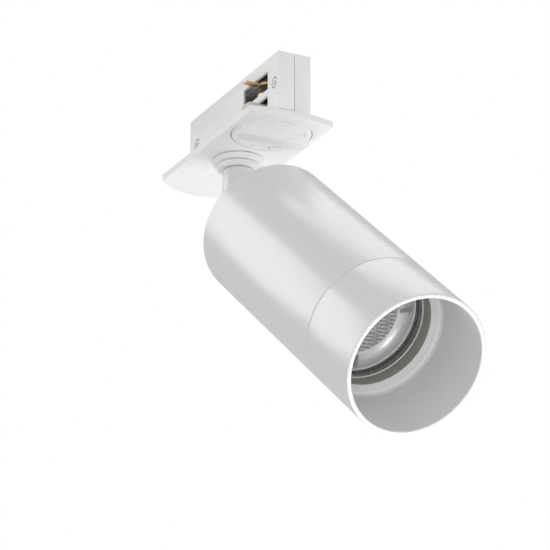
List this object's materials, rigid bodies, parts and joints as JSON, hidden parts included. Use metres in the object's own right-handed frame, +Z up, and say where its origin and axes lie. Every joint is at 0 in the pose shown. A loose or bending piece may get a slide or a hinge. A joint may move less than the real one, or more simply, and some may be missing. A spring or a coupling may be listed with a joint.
{
  "type": "track spotlight",
  "caption": "Tubular lamp head with a recessed front ring, on a panning and tilting stem under a rail adapter with a quarter-turn lock knob.",
  "frame": {"origin": "where the pan axis meets the adapter's seat, the flat upper side of its plate, which lies against the underside of the rail", "axes": "+Z up, out of the seat into the rail; +X along the rail, from the pan axis towards the lock knob; +Y across the rail"},
  "size_m": [0.1727, 0.0659, 0.1674],
  "materials": {
    "white_plastic": "fine moulded satin",
    "white_paint": "fine matte powder coat",
    "collar_paint": "satin dark grey",
    "black_plastic": "matte",
    "natural_plastic": "matte",
    "ceramic": "matte white steatite",
    "zinc_steel": "zinc plated",
    "copper_alloy": "satin",
    "lead_brown": "satin insulation",
    "lead_blue": "satin insulation",
    "lamp_shell": "satin",
    "lamp_bowl": "satin white reflector",
    "lamp_optic": "textured clear lens",
    "lamp_rim": "bright rim",
    "circuit_board": "white board"
  },
  "bodies": {
    "adapter": {"adapter_shell_near": "white_plastic", "adapter_shell_far": "white_plastic", "shell_screw_1": "zinc_steel", "shell_screw_2": "zinc_steel", "shell_screw_3": "zinc_steel", "swivel_bezel": "white_plastic", "earth_contact": "copper_alloy", "live_wiper": "copper_alloy", "neutral_wiper": "copper_alloy", "detent_spring": "zinc_steel", "adapter_lead_live": "lead_brown", "adapter_lead_neutral": "lead_blue"},
    "rail_lock": {"lock_knob": "white_plastic", "lock_shaft": "zinc_steel", "lock_cam": "natural_plastic", "contact_drum": "black_plastic", "live_contact": "copper_alloy", "neutral_contact": "copper_alloy", "shaft_clip": "zinc_steel"},
    "stem": {"swivel_disc": "white_plastic", "stem_fork": "white_paint", "pan_stop_washer": "zinc_steel", "pan_spring_washer": "zinc_steel", "pan_nut": "zinc_steel", "tilt_pin": "zinc_steel", "tilt_nut": "zinc_steel"},
    "head": {"neck": "white_paint", "neck_nut": "zinc_steel", "back_cap": "white_paint", "cap_screw_1": "zinc_steel", "cap_screw_2": "zinc_steel", "head_tube": "white_paint", "holder_bracket": "zinc_steel", "holder_screw_1": "zinc_steel", "holder_screw_2": "zinc_steel", "lampholder": "ceramic", "terminal_block": "natural_plastic", "lamp_lead_live": "lead_brown", "lamp_lead_neutral": "lead_blue", "neck_lead_live": "lead_brown", "neck_lead_neutral": "lead_blue"},
    "lamp": {"lamp_cap": "ceramic", "lamp_shell_body": "lamp_shell", "lamp_pin_live": "copper_alloy", "lamp_pin_neutral": "copper_alloy", "lamp_board": "circuit_board", "lamp_bowl": "lamp_bowl", "lamp_optic": "lamp_optic", "lamp_rim": "lamp_rim"},
    "front_ring": {"front_ring": "white_paint", "baffle_sleeve": "collar_paint"}
  },
  "joints": [
    {"name": "lock_turn", "type": "hinge", "parent": "adapter", "child": "rail_lock", "pos_m": [0.0286, 0, 0], "axis": [0, 0, 1], "range_deg": [0, 90]},
    {"name": "pan", "type": "hinge", "parent": "adapter", "child": "stem", "pos_m": [0, 0, 0], "axis": [0, 0, 1], "range_deg": [-172, 158]},
    {"name": "tilt", "type": "hinge", "parent": "stem", "child": "head", "pos_m": [0, 0, -0.0207], "axis": [0.1219, -0.9925, 0], "range_deg": [-49.1, 15.9]},
    {"name": "lamp_twist", "type": "hinge", "parent": "head", "child": "lamp", "pos_m": [0, 0, -0.0207], "axis": [0.7502, 0.0921, -0.6547], "range_deg": [-20, 0]},
    {"name": "ring_pull", "type": "slide", "parent": "head", "child": "front_ring", "axis": [0.7502, 0.0921, -0.6547], "range_m": [0, 0.02]}
  ]
}
